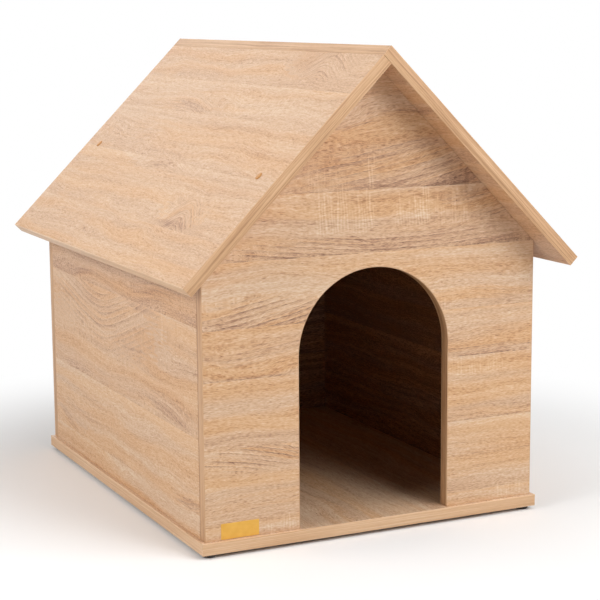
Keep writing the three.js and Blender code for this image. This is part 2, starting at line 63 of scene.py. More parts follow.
class NodeMaker:  # adds nodes to one tree and hands back their sockets
    def __init__(self, tree):
        self.tree = tree

    def feed(self, socket, value):
        if isinstance(value, bpy.types.NodeSocket):
            self.tree.links.new(value, socket)
        else:
            socket.default_value = value

    def node(self, kind, inputs=None, **settings):
        made = self.tree.nodes.new(kind)
        for name, value in settings.items():
            setattr(made, name, value)
        for key, value in (inputs or {}).items():
            self.feed(made.inputs[key], value)
        return made

    def first(self, kind, inputs=None, **settings):  # a new node's first output
        return self.node(kind, inputs, **settings).outputs[0]

    def math(self, operation, *values):
        return self.first("ShaderNodeMath", dict(enumerate(values)), operation=operation)

    def add(self, a, b):
        return self.math("ADD", a, b)

    def less(self, a, b):
        return self.math("SUBTRACT", a, b)

    def times(self, a, b):
        return self.math("MULTIPLY", a, b)

    def over(self, a, b):
        return self.math("DIVIDE", a, b)

    def plus(self, base, value, weight):  # base + value * weight
        return self.math("MULTIPLY_ADD", value, weight, base)

    def absolute(self, value):
        return self.math("ABSOLUTE", value)

    def combine(self, x, y, z=0.0):
        return self.first("ShaderNodeCombineXYZ", {0: x, 1: y, 2: z})

    def split(self, vector):
        return self.node("ShaderNodeSeparateXYZ", {0: vector}).outputs

    def step(self, value, low, high):  # a smooth step from 0 at low to 1 at high
        inputs = {0: value, 1: low, 2: high}
        return self.first("ShaderNodeMapRange", inputs, interpolation_type="SMOOTHSTEP")

    def noise(self, x, y, z, detail=1.0, roughness=0.5):
        inputs = {"Vector": self.combine(x, y, z), "Scale": 1.0, "Detail": detail, "Roughness": roughness}
        return self.first("ShaderNodeTexNoise", inputs)

    def streaks(self, along, length, across, width, *rest):  # noise drawn out to a length and width in mm
        return self.noise(self.times(along, 1 / length), self.times(across, 1 / width), *rest)

    def centred(self, value):  # makes what runs from 0 to 1 swing about zero
        return self.add(value, -0.5)

    def swing(self, *streaks):  # streaks that swing about zero
        return self.centred(self.streaks(*streaks))

    def random(self, x, y):
        return self.first("ShaderNodeTexWhiteNoise", {"Vector": self.combine(x, y)})

    def ramp(self, value, tones):  # tones are (place, (red, green, blue)) as read on screen
        made = self.node("ShaderNodeValToRGB", {0: value})
        elements = made.color_ramp.elements
        while len(elements) < len(tones):
            elements.new(0.5)
        for element, (place, tone) in zip(elements, tones):
            element.position = place
            element.color = srgb(*tone)
        return made.outputs[0]

    def mix(self, factor, a, b):
        return self.node("ShaderNodeMix", {0: factor, 6: a, 7: b}, data_type="RGBA").outputs[2]

    def attribute(self, name):
        return self.node("ShaderNodeAttribute", attribute_name=name).outputs["Fac"]

    def objectPlace(self):
        return self.node("ShaderNodeTexCoord").outputs["Object"]

    def group(self, group, **inputs):  # input names are written here without their spaces
        made = self.node("ShaderNodeGroup", node_tree=group)
        named = {socket.name.replace(" ", ""): socket for socket in made.inputs}
        for name, value in inputs.items():
            self.feed(named[name[0].upper() + name[1:]], value)
        return made.outputs


def shaderGroup(name, inputs, outputs):  # inputs with their values at first, outputs with their kinds
    kinds = {"value": "NodeSocketFloat", "color": "NodeSocketColor"}
    tree = bpy.data.node_groups.new(name, "ShaderNodeTree")
    for socket, value in inputs.items():
        made = tree.interface.new_socket(socket, in_out="INPUT", socket_type=kinds["value"])
        made.default_value = value
    for socket, kind in outputs.items():
        tree.interface.new_socket(socket, in_out="OUTPUT", socket_type=kinds[kind])
    maker = NodeMaker(tree)
    return tree, maker, maker.node("NodeGroupInput").outputs, maker.node("NodeGroupOutput").inputs


def newMaterial(name):
    material = bpy.data.materials.new(name)
    material.use_nodes = True
    maker = NodeMaker(material.node_tree)
    surface = material.node_tree.nodes["Principled BSDF"]
    return material, maker, surface


def bumpInto(make, surface, height, strength, distance):
    bump = make.first("ShaderNodeBump", {"Height": height, "Strength": strength, "Distance": distance})
    make.feed(surface.inputs["Normal"], bump)


photoCamera = {
    "place": (-1.1602, -2.5133, 0.7748),  # metres, solved from the house's corners in the picture
    "azimuth": -25.644,  # degrees, 0 looks along +Y
    "elevation": 9.711,
    "roll": -0.404,
    "lens": 101.86,  # mm, on a 36 mm sensor
}


def makeCamera():
    azimuth, elevation, roll = (math.radians(photoCamera[k]) for k in ("azimuth", "elevation", "roll"))
    looking = Vector((
        -math.sin(azimuth) * math.cos(elevation),
        math.cos(azimuth) * math.cos(elevation),
        -math.sin(elevation),
    ))
    right = looking.cross(upright).normalized()
    up = right.cross(looking)
    axes = Matrix((right, up, -looking)).transposed() @ Matrix.Rotation(roll, 3, "Z")
    data = bpy.data.cameras.new("camera")
    data.lens = photoCamera["lens"]
    data.sensor_width = 36
    camera = bpy.data.objects.new("camera", data)
    camera.matrix_world = Matrix.Translation(photoCamera["place"]) @ axes.to_4x4()
    bpy.context.scene.collection.objects.link(camera)
    bpy.context.scene.camera = camera


makeCamera()
print("camera is in place")

# The oak print. Its groups work in millimetres on a panel: Along runs with the grain and Across
# over it. Ring is Across bent by the growth rings, so what is even in Ring flows with the grain.


# The slow bends that all of the grain follows, with two finer unevennesses: Wobble for the growth
# rings of a figure and Fray for the edges of what is laid over the grain.
def makeFlowGroup():
    tree, make, given, result = shaderGroup(
        "oak flow", {"Along": 0, "Across": 0, "Plank": 0, "Sway": 18, "Ripple": 2.5},
        {"Ring": "value", "Wobble": "value", "Fray": "value"})
    along, across, plank = given["Along"], given["Across"], given["Plank"]
    slow = make.swing(along, 190, across, 60, make.times(plank, 3.7))
    quick = make.swing(along, 50, across, 25, make.times(plank, 5.3))
    ring = make.plus(across, slow, make.times(given["Sway"], 2))
    make.feed(result["Ring"], make.plus(ring, quick, make.times(given["Ripple"], 2)))
    make.feed(result["Wobble"], make.swing(along, 70, across, 30, plank, 2.0))
    make.feed(result["Fray"], make.swing(along, 32, across, 5, plank, 2.0))
    return tree


# What every patch on the print has: a middle, a size and how strong it is.
patchInputs = {"Along": 0, "Across": 0, "At Along": 0, "At Across": 0, "Length": 100, "Height": 20,
               "Depth": 0.2}


def fromMiddle(make, given):  # how far a place is from a patch's middle, with the grain and over it
    return [make.less(given[way], given[f"At {way}"]) for way in ("Along", "Across")]


# A patch where the growth rings lie open: the grain follows arcs, and each has a dark band that
# ends in a thin pale line. Slope tilts the arcs, and Bend draws them down on both sides of a crown.
# Here is 1 on the plank that holds the patch and 0 on the others.
def makeFigureGroup():
    tree, make, given, result = shaderGroup(
        "oak figure",
        {**patchInputs, "Here": 1, "Ring": 0, "Lines": 0, "Wobble": 0, "Fray": 0, "Slope": 0, "Bend": 0,
         "Crown": 30, "Pitch": 7},
        {"Ring": "value", "Lines": "value"})
    x, y = fromMiddle(make, given)
    crown = make.times(given["Crown"], given["Crown"])
    arch = make.less(make.math("SQRT", make.plus(crown, x, x)), given["Crown"])
    lift = make.plus(make.times(x, given["Slope"]), arch, given["Bend"])
    wide, tall = make.over(x, given["Length"]), make.over(y, given["Height"])
    reach = make.math("SQRT", make.plus(make.times(wide, wide), tall, tall))
    inside = make.times(make.step(make.plus(reach, given["Fray"], 0.7), 1.0, 0.45), given["Here"])
    make.feed(result["Ring"], make.less(given["Ring"], make.times(lift, inside)))

    turns = make.over(make.plus(make.less(y, lift), given["Wobble"], 5), given["Pitch"])
    uneven = make.centred(make.noise(turns, 0.0, 5.0, 0.0))
    share = make.math("FRACT", make.plus(turns, uneven, 0.9))
    fade = make.noise(make.times(given["Along"], 1 / 90), make.times(turns, 0.9), 11.0, 0.0)
    fade = make.step(fade, 0.18, 0.5)
    line = make.times(make.math("POWER", share, 1.7), fade)
    line = make.plus(line, make.step(share, 0.16, 0.03), -0.45)
    make.feed(result["Lines"], make.plus(given["Lines"], make.times(line, inside), given["Depth"]))
    return tree


# A leaf-shaped dark patch, pointed at both ends, added to the shade so far.
def makeLeafGroup():
    tree, make, given, result = shaderGroup(
        "oak leaf", {**patchInputs, "Here": 1, "Fray": 0, "Shade": 0, "Tilt": 0, "Edge": 0.3},
        {"Shade": "value"})
    x, y = fromMiddle(make, given)
    y = make.less(y, make.times(x, given["Tilt"]))
    wide = make.over(x, given["Length"])
    tall = make.absolute(make.over(y, given["Height"]))
    inside = make.plus(make.less(make.less(1, make.times(wide, wide)), tall), given["Fray"], 0.6)
    mask = make.times(make.step(inside, 0, given["Edge"]), given["Here"])
    make.feed(result["Shade"], make.plus(given["Shade"], mask, given["Depth"]))
    return tree


# The saw marks, all over the panel: pale bars square to the grain and a fainter weave along it.
def makeSawMarksGroup():
    tree, make, given, result = shaderGroup(
        "saw marks", {"Along": 0, "Across": 0, "Pitch": 4.9, "Width": 2.3},
        {"Bars": "value", "Random": "value"})
    along, across, pitch = given["Along"], given["Across"], given["Pitch"]
    wander = make.swing(along, 13, across, 45, 2.0)
    place = make.over(make.plus(make.plus(along, wander, 7), across, 0.05), pitch)
    cell = make.math("FLOOR", place)
    apart = make.times(make.absolute(make.centred(make.math("FRACT", place))), pitch)
    bar = make.step(apart, given["Width"], 0)
    strength = make.step(make.random(cell, 3.0), -0.2, 0.8)
    patchy = make.streaks(along, 3, across, 8, 5.0)
    bar = make.times(make.times(bar, strength), make.step(patchy, 0.15, 0.55))
    row = make.plus(make.times(across, 1 / 5.2), patchy, 0.5)
    rowApart = make.absolute(make.centred(make.math("FRACT", row)))
    rowStrength = make.step(make.noise(make.times(along, 1 / 14), make.math("FLOOR", row), 8.0), 0.45, 0.75)
    weave = make.times(make.step(rowApart, 0.3, 0.02), rowStrength)
    make.feed(result["Bars"], make.plus(bar, weave, 0.16))
    make.feed(result["Random"], make.random(cell, 7.0))
    return tree


def makeSawPatchGroup():  # where saw marks lie, each with an end of its own by its Random
    tree, make, given, result = shaderGroup(
        "saw patch", {**patchInputs, "Random": 0, "Marks": 0}, {"Marks": "value"})
    x, y = fromMiddle(make, given)
    shift = make.times(make.centred(given["Random"]), make.times(given["Height"], 0.6))
    reach = make.times(given["Height"], make.plus(0.5, given["Random"], 0.6))
    wide = make.over(make.absolute(x), given["Length"])
    tall = make.over(make.absolute(make.less(y, shift)), reach)
    inside = make.times(make.step(make.less(1, wide), 0, 0.35), make.step(make.less(1, tall), 0, 0.4))
    mask = make.times(inside, given["Depth"])
    make.feed(result["Marks"], make.math("MAXIMUM", given["Marks"], mask))
    return tree


oakStreaks = {  # name: (length and width in mm, detail, roughness, weight in the tone)
    "fibre": (6, 1.1, 1.0, 0.5, 0.9),
    "streak": (18, 2.1, 1.0, 0.5, 0.36),
    "band": (150, 3.4, 2.0, 0.6, 0.36),
    "broad": (400, 12, 1.0, 0.5, 0.42),
}
oakTones = {  # as read on screen, from the darkest pores at 0 to the palest saw marks at 1
    "amber": [(0.0, (136, 86, 48)), (0.22, (185, 133, 89)), (0.42, (210, 162, 117)), (0.58, (218, 176, 134)),
              (0.78, (228, 194, 157)), (1.0, (239, 216, 187))],
    "beige": [(0.0, (130, 92, 70)), (0.22, (182, 140, 110)), (0.42, (207, 168, 134)), (0.58, (217, 183, 151)),
              (0.78, (226, 200, 173)), (1.0, (238, 220, 196))],
}


def makeOakGroup():
    tree, make, given, result = shaderGroup(
        "oak print",
        {"Along": 0, "Across": 0, "Ring": 0, "Plank": 0, "Rise": 0.5, "Lines": 0, "Shade": 0, "Marks": 0,
         "Seam": 0.17, "Level": 0.5, "Amber": 0, "Contrast": 1},
        {"Color": "color", "Roughness": "value", "Height": "value"})
    along, across, ring, plank = (given[name] for name in ("Along", "Across", "Ring", "Plank"))
    seed = make.times(plank, 6.1)
    layers, vary = {}, 0
    for i, (name, (length, width, detail, roughness, weight)) in enumerate(oakStreaks.items()):
        own = make.add(seed, 2 * i)
        layers[name] = make.swing(along, length, ring, width, own, detail, roughness)
        vary = make.plus(vary, layers[name], weight)
    pore = make.streaks(along, 9, ring, 1.3, make.add(seed, 8.0), 0.0)
    coolness = make.streaks(along, 450, ring, 26, make.add(seed, 10.0))

    openRings = make.step(make.streaks(along, 150, across, 26, make.add(seed, 12.0)), 0.5, 0.7)
    share = make.math("FRACT", make.plus(make.times(ring, 1 / 6), layers["band"], 1.5))
    softLines = make.times(make.math("POWER", share, 2.2), openRings)

    lowMask = make.step(make.noise(make.times(along, 1 / 130), plank, 14.0), 0.3, 0.6)
    lowShade = make.times(make.step(given["Rise"], 0.3, 0.0), lowMask)
    topGlow = make.step(given["Rise"], 0.82, 1.0)

    for part, weight in ((softLines, -0.1), (make.times(lowShade, given["Seam"]), -1), (topGlow, 0.08),
                         (make.step(pore, 0.66, 0.8), -0.16)):
        vary = make.plus(vary, part, weight)
    shade = make.add(given["Shade"], given["Lines"])
    tone = make.plus(given["Level"], vary, given["Contrast"])
    tone = make.plus(make.less(tone, shade), given["Marks"], 0.27)

    greyness = make.less(make.plus(make.plus(coolness, shade, 1.1), lowShade, 0.15), given["Amber"])
    greyness = make.plus(0.5, make.centred(make.step(greyness, 0.34, 0.68)), given["Contrast"])
    tones = [make.ramp(tone, oakTones[name]) for name in ("amber", "beige")]
    make.feed(result["Color"], make.mix(greyness, *tones))
    make.feed(result["Roughness"], make.plus(0.48, layers["streak"], -0.3))
    height = make.plus(layers["fibre"], layers["streak"], 0.8)
    make.feed(result["Height"], make.plus(height, given["Marks"], 0.2))
    return tree


def makeChipboardGroup():  # raw chipboard, which shows only on sawn edges and in holes
    tree, make, given, result = shaderGroup("chipboard", {"X": 0, "Y": 0, "Z": 0}, {"Color": "color"})
    chipSizes = {"X": 4, "Y": 4, "Z": 1.2}  # mm
    place = make.combine(*(make.times(given[axis], 1 / size) for axis, size in chipSizes.items()))
    chips = make.node("ShaderNodeTexVoronoi", {"Vector": place, "Scale": 1.0}).outputs["Color"]
    tones = [(0.0, (120, 86, 54)), (0.5, (172, 132, 90)), (1.0, (214, 180, 136))]
    make.feed(result["Color"], make.ramp(make.split(chips)[0], tones))
    return tree


flowGroup = makeFlowGroup()
figureGroup = makeFigureGroup()
leafGroup = makeLeafGroup()
sawMarksGroup = makeSawMarksGroup()
sawPatchGroup = makeSawPatchGroup()
oakGroup = makeOakGroup()
chipboardGroup = makeChipboardGroup()
print("oak groups are built")

floorLow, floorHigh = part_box("floor_panel")
boardThickness = floorHigh.z - floorLow.z
bodyLow = Vector((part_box("front_gable_edging_left")[0].x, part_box("front_gable_panel")[0].y, floorHigh.z))

patchSizes = {  # what each row of a print's three lists gives, as inputs of its group
    "figures": ("atAlong", "atAcross", "length", "height", "slope", "bend", "crown", "pitch", "depth"),
    "leaves": ("atAlong", "atAcross", "length", "height", "tilt", "depth", "edge"),
    "sawPatches": ("atAlong", "atAcross", "length", "height", "depth"),
}
# Sizes in mm on the panel, with the grain and up from its foot. joints lie between the printed
# planks, and tones say how much paler each plank is, from the lowest.
frontPrint = {
    "seed": 0,
    "level": 0.5,
    "inner": -0.4,  # painted shade: the inner face is darker, for the shade inside the house
    "amber": 0.0,
    "contrast": 0.95,
    "seam": 0.1,
    "joints": [20, 132, 232, 306, 401, 493],
    "tones": [0.03, 0.04, 0.0, -0.02, 0.04, -0.02, -0.06],
    "figures": [
        (105, 322, 150, 34, 0.2, 0.06, 40, 8, 0.36),
        (300, 413, 340, 24, -0.02, 0.1, 90, 7.5, 0.26),
        (330, 524, 240, 48, 0.2, 0.04, 60, 9, 0.2),
        (95, 118, 120, 26, -0.22, -0.08, 30, 6.5, 0.4),
        (470, 240, 130, 14, 0.02, 0.05, 60, 6, 0.18),
        (450, 335, 130, 30, -0.05, -0.08, 50, 8, 0.14),
        (120, 262, 150, 30, 0.12, 0.05, 60, 8, 0.12),
        (480, 465, 120, 30, 0.25, 0.1, 40, 6, 0.16),
        (90, 60, 160, 40, 0.04, -0.06, 70, 9, 0.08),
        (470, 70, 150, 46, -0.03, 0.06, 70, 9, 0.08),
        (280, 600, 160, 50, 0.1, -0.3, 50, 7, 0.14),
    ],
    "leaves": [
        (412, 503, 62, 15, 0.2, 0.16, 0.3),
        (350, 494, 240, 7, 0.0, 0.1, 0.6),
        (270, 402, 280, 6, 0.0, 0.08, 0.8),
        (480, 408, 95, 13, 0.04, 0.08, 0.8),
        (75, 233, 100, 5, 0.0, 0.12, 0.8),
        (475, 233, 100, 5, 0.0, 0.12, 0.8),
        (60, 307, 90, 8, 0.0, 0.08, 0.8),
        (480, 133, 100, 6, 0.0, 0.12, 0.9),
    ],
    "sawPatches": [
        (222, 458, 50, 40, 0.9),
        (338, 458, 34, 32, 0.9),
        (402, 456, 40, 30, 0.6),
        (269, 519, 6, 36, 1.0),
        (269, 462, 6, 36, 1.0),
        (190, 508, 34, 20, 0.3),
        (392, 320, 22, 22, 0.5),
        (450, 215, 60, 18, 0.6),
        (510, 12, 30, 13, 0.6),
        (120, 12, 34, 14, 0.75),
    ],
}
roofPrint = {
    "seed": 3,
    "level": 0.48,
    # painted shade, slight, on the roof's underside
    "inner": -0.06,
    "amber": -0.04,
    "contrast": 0.72,
    "seam": 0.05,
    "joints": [80, 195, 293, 362],
    "tones": [0.0, 0.02, 0.0, 0.02, 0.0],
    "figures": [
        (400, 186, 170, 22, 0.02, -0.3, 60, 6.5, 0.15),
        (610, 104, 95, 48, 0.1, -0.8, 14, 7, 0.2),
        (650, 412, 130, 44, 0.2, -0.7, 20, 6.5, 0.19),
        (310, 308, 150, 28, -0.12, -0.15, 30, 6.5, 0.14),
        (150, 40, 180, 40, 0.06, -0.05, 60, 8, 0.1),
        (150, 250, 170, 40, -0.04, 0.08, 60, 8, 0.1),
    ],
    "leaves": [
        (385, 189, 80, 10, 0.08, 0.13, 0.7),
        (620, 194, 160, 4, 0.0, 0.16, 0.9),
        (600, 88, 80, 12, 0.0, 0.13, 0.9),
        (318, 308, 105, 12, -0.12, 0.13, 0.8),
    ],
    "sawPatches": [
        (560, 322, 130, 26, 0.7),
        (535, 108, 46, 22, 0.8),
        (760, 90, 40, 12, 0.6),
    ],
}
wallPrint = {
    "seed": 7,
    "level": 0.44,
    # painted shade on the wall's inner face
    "inner": -0.4,
    "amber": 0.02,
    "contrast": 0.86,
    "seam": 0.06,
    "joints": [35, 147, 308.5],
    # painted light: the wall's planks are paler towards the floor, for the light that the floor throws back,
    # and darker at the top
    "tones": [0.08, 0.08, 0.03, -0.06],
    "figures": [
        (270, 288, 340, 100, 0.05, 0.3, 60, 10, 0.17),
        (560, 166, 150, 28, -0.1, -0.08, 50, 7, 0.14),
        (640, 44, 90, 22, 0.15, 0.1, 30, 6, 0.14),
        (90, 52, 110, 26, -0.2, 0.05, 30, 7, 0.16),
        (520, 350, 180, 34, 0.04, -0.1, 80, 8, 0.12),
        (180, 100, 200, 40, 0.05, 0.06, 80, 9, 0.1),
    ],
    "leaves": [
        (460, 302, 90, 9, 0.0, 0.14, 0.7),
        (560, 163, 115, 14, -0.1, 0.12, 0.8),
        (425, 232, 80, 4, 0.06, 0.14, 1.0),
        (640, 42, 60, 12, 0.12, 0.14, 0.7),
        (85, 52, 66, 12, -0.28, 0.13, 0.8),
    ],
    "sawPatches": [
        (545, 282, 5, 30, 0.9),
        (420, 48, 55, 20, 0.4),
        (605, 335, 70, 17, 0.35),
    ],
}


def shifted(look, by, seed):  # the same paper cut from another stretch of the roll
    moved = {kind: [(along + by[0], across + by[1], *rest) for along, across, *rest in look[kind]]
             for kind in patchSizes}
    return {**look, **moved, "joints": [joint + by[1] for joint in look["joints"]], "seed": seed}


def patchesOf(look, kind):  # each patch's named sizes, with the number of the plank that it lies on
    for row in look[kind]:
        sizes = dict(zip(patchSizes[kind], row))
        yield sizes, sum(joint < sizes["atAcross"] for joint in look["joints"])


endPlanks = (110, 105)  # mm, how tall a print's lowest and topmost planks are


def plankAt(make, across, look):  # which plank a height is in, how far up it, and how pale that plank is
    joints, tones = look["joints"], look["tones"]
    edges = [joints[0] - endPlanks[0], *joints, joints[-1] + endPlanks[1]]
    plank, start, tall, paler = look["seed"], edges[0], edges[1] - edges[0], tones[0]
    for i, joint in enumerate(joints, start=1):
        above = make.math("GREATER_THAN", across, joint)
        plank = make.add(plank, above)
        start = make.plus(start, above, joint - edges[i - 1])
        tall = make.plus(tall, above, edges[i + 1] - 2 * joint + edges[i - 1])
        paler = make.plus(paler, above, tones[i] - tones[i - 1])
    return plank, make.over(make.less(across, start), tall), paler


boardLook = {
    "innerAlong": 337,  # mm, to the stretch of the paper that the inner face has
    "innerAcross": -61,
    "skin": 0.35,  # mm, the printed paper and its resin on the chipboard
    "coreRoughness": 0.85,
    "bump": 0.5,
    "bumpDepth": 0.00015,  # metres
}


# origin is on the panel's mid-plane. The mapping turns the panel's own directions to X, Y and Z.
def makePanelMaterial(name, origin, along, up, out, look):
    third = along.cross(up)
    turn = Matrix((along, up, third))
    facing = 1 if third.dot(out) > 0 else -1
    material, make, surface = newMaterial(name)
    inputs = {"Vector": make.objectPlace(), "Location": -(turn @ Vector(origin)) * perMetre,
              "Rotation": turn.to_euler(), "Scale": (perMetre,) * 3}
    x, y, z = make.split(make.first("ShaderNodeMapping", inputs, vector_type="POINT"))
    # 1 on the panel's inner face, which reads another stretch of the paper and gets painted shade
    inner = make.math("LESS_THAN", make.times(z, facing), 0)
    place = {"along": make.plus(x, inner, boardLook["innerAlong"]),
             "across": make.plus(y, inner, boardLook["innerAcross"])}

    plank, rise, paler = plankAt(make, place["across"], look)
    # painted shade: on the inner face the level is lowered by the print's inner value
    level = make.plus(make.add(paler, look["level"]), inner, look["inner"])
    flow = make.group(flowGroup, plank=plank, **place)
    onPlank = [make.math("COMPARE", plank, look["seed"] + i, 0.5) for i in range(len(look["joints"]) + 1)]
    ring, lines, shade, marks = flow["Ring"], 0, 0, 0
    for sizes, number in patchesOf(look, "figures"):
        bent = make.group(figureGroup, here=onPlank[number], ring=ring, lines=lines, wobble=flow["Wobble"],
                          fray=flow["Fray"], **sizes, **place)
        ring, lines = bent["Ring"], bent["Lines"]
    for sizes, number in patchesOf(look, "leaves"):
        dark = make.group(leafGroup, here=onPlank[number], fray=flow["Fray"], shade=shade, **sizes, **place)
        shade = dark["Shade"]
    saw = make.group(sawMarksGroup, **place)
    for sizes, _ in patchesOf(look, "sawPatches"):
        marked = make.group(sawPatchGroup, random=saw["Random"], marks=marks, **sizes, **place)
        marks = marked["Marks"]
    oak = make.group(oakGroup, ring=ring, plank=plank, rise=rise, lines=lines, shade=shade,
                     marks=make.times(saw["Bars"], marks), level=level, seam=look["seam"],
                     amber=look["amber"], contrast=look["contrast"], **place)
    chips = make.group(chipboardGroup, x=x, y=y, z=z)
    core = make.math("LESS_THAN", make.absolute(z), boardThickness * perMetre / 2 - boardLook["skin"])
    rough = make.math("MAXIMUM", oak["Roughness"], make.times(core, boardLook["coreRoughness"]))
    make.feed(surface.inputs["Base Color"], make.mix(core, oak["Color"], chips["Color"]))
    make.feed(surface.inputs["Roughness"], rough)
    bumpInto(make, surface, oak["Height"], boardLook["bump"], boardLook["bumpDepth"])
    return material


def dress(node, material):
    mesh = nodes[node].data
    mesh.materials.clear()
    mesh.materials.append(material)


roofSlope = math.radians(45)
sine, cosine = math.sin(roofSlope), math.cos(roofSlope)
roofDown = {side: Vector((sign * cosine, 0, -sine)) for side, sign in sideSigns.items()}
roofOut = {side: Vector((sign * sine, 0, cosine)) for side, sign in sideSigns.items()}


def slopeEnds(node):  # the middles of a sloping strip's two ends, the ridge end first
    low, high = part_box(node)
    middle = middleOf(node)
    half = boardThickness / 2 * sine
    sign = sideSigns[node.split("_")[0]]
    reach = (high.x - low.x) / 2 - half
    return [Vector((middle.x - sign * reach, middle.y, high.z - half)),
            Vector((middle.x + sign * reach, middle.y, low.z + half))]


def dressPanel(place, origin, along, up, out, look):
    name = "oak " + place.replace("_", " ")
    dress(f"{place}_panel", makePanelMaterial(name, origin, along, up, out, look))


def dressPanels():
    looks = {"front": frontPrint, "rear": shifted(frontPrint, (-40, 26), 11)}
    for end, sign in endSigns.items():
        origin = (sign * -bodyLow.x, middleOf(f"{end}_gable_panel").y, floorHigh.z)
        dressPanel(f"{end}_gable", origin, -sign * acrossX, upright, sign * acrossY, looks[end])
    looks = {"left": wallPrint, "right": shifted(wallPrint, (-90, -24), 17)}
    for side, sign in sideSigns.items():
        origin = (middleOf(f"{side}_wall_panel").x, sign * bodyLow.y, floorHigh.z)
        dressPanel(f"{side}_wall", origin, sign * acrossY, upright, sign * acrossX, looks[side])
    looks = {"left": roofPrint, "right": shifted(roofPrint, (60, -30), 23)}
    for side, sign in sideSigns.items():
        eave = slopeEnds(f"{side}_roof_edging_front")[1]
        origin = (eave.x, -sign * abs(eave.y), eave.z)
        dressPanel(f"{side}_roof", origin, sign * acrossY, -roofDown[side], roofOut[side], looks[side])
    look = {**shifted(roofPrint, (25, 14), 31), "level": 0.52, "amber": -0.1, "contrast": 1.0}
    origin = (floorLow.x, floorLow.y, middleOf("floor_panel").z)
    dressPanel("floor", origin, acrossY, acrossX, upright, look)


dressPanels()
print("panels are dressed")

edgingLook = {
    "thickness": 0.001,  # metres
    "round": 0.0008,  # of the two outer corners
    "roundSteps": 5,
    "archSteps": 96,
    # how much paler a strip is, by a word in its name, set to how lit each place looks: painted light on the
    # eave and floor strips, painted shade on the gable, roof and doorway strips
    "paler": {"eave": 0.26, "floor": 0.2, "gable": -0.14, "roof": -0.04, "doorway": -0.22},
    "tones": [(0.0, (140, 95, 62)), (0.3, (184, 139, 99)), (0.5, (205, 162, 121)), (0.7, (217, 177, 138)),
              (1.0, (232, 199, 164))],
    "arris": (7.9, 8.9),  # mm from the strip's middle, where its rounded corner and its painted highlight start and end
    "roughness": 0.46,
    "bump": 0.35,
    "bumpDepth": 0.0001,  # metres
}


# A printed strip: fine lines run its whole length, and its two arrises are smoother and paler, a painted
# highlight.
def makeEdgingMaterial():
    material, make, surface = newMaterial("oak edging")
    along = make.times(make.attribute("along"), perMetre)
    across = make.times(make.attribute("across"), perMetre)
    strip = make.times(make.attribute("strip"), 13.7)
    drift = make.plus(across, make.centred(make.noise(make.times(along, 1 / 120), 0.0, strip)), 5)
    lines = make.swing(along, 260, drift, 1.5, strip, 2.0, 0.6)
    bands = make.swing(along, 340, drift, 4.5, make.add(strip, 3.0))
    fibre = make.swing(along, 14, drift, 0.7, make.add(strip, 6.0))
    patches = make.swing(along, 90, across, 12, make.add(strip, 9.0))
    # painted highlight: the rounded corners are paler
    arris = make.step(make.absolute(across), *edgingLook["arris"])
    # painted light and shade: the strip's tone starts from its place's paleness
    tone = make.add(make.attribute("paler"), 0.5)
    for part, weight in ((lines, 0.95), (bands, 0.5), (fibre, 0.35), (patches, 0.3), (arris, 0.16)):
        tone = make.plus(tone, part, weight)
    make.feed(surface.inputs["Base Color"], make.ramp(tone, edgingLook["tones"]))
    make.feed(surface.inputs["Roughness"], make.plus(edgingLook["roughness"], arris, -0.08))
    bumpInto(make, surface, lines, edgingLook["bump"], edgingLook["bumpDepth"])
    return material


def shapeTree(name, sockets):  # a Geometry Nodes tree with named inputs and one geometry output
    tree = bpy.data.node_groups.new(name, "GeometryNodeTree")
    for socket, kind in sockets.items():
        tree.interface.new_socket(socket, in_out="INPUT", socket_type=f"NodeSocket{kind}")
    tree.interface.new_socket("Shape", in_out="OUTPUT", socket_type="NodeSocketGeometry")
    make = NodeMaker(tree)
    return tree, make, make.node("NodeGroupInput").outputs


def smoothed(make, shape, crease):  # smooth, but for edges sharper than crease in degrees
    inputs = {"Geometry": shape, "Shade Smooth": True}
    smooth = make.first("GeometryNodeSetShadeSmooth", inputs, domain="FACE")
    angle = make.first("GeometryNodeInputMeshEdgeAngle")
    sharp = make.math("GREATER_THAN", angle, math.radians(crease))
    inputs = {"Geometry": smooth, "Selection": sharp, "Shade Smooth": False}
    return make.first("GeometryNodeSetShadeSmooth", inputs, domain="EDGE")


def endTree(make, shape, material):
    real = make.first("GeometryNodeRealizeInstances", {"Geometry": shape})
    done = make.first("GeometryNodeSetMaterial", {"Geometry": real, "Material": material})
    make.feed(make.node("NodeGroupOutput").inputs[0], done)


def stored(make, shape, name, value):  # each point keeps its own value under a name
    inputs = {"Geometry": shape, "Name": name, "Value": value}
    return make.first("GeometryNodeStoreNamedAttribute", inputs, data_type="FLOAT", domain="POINT")


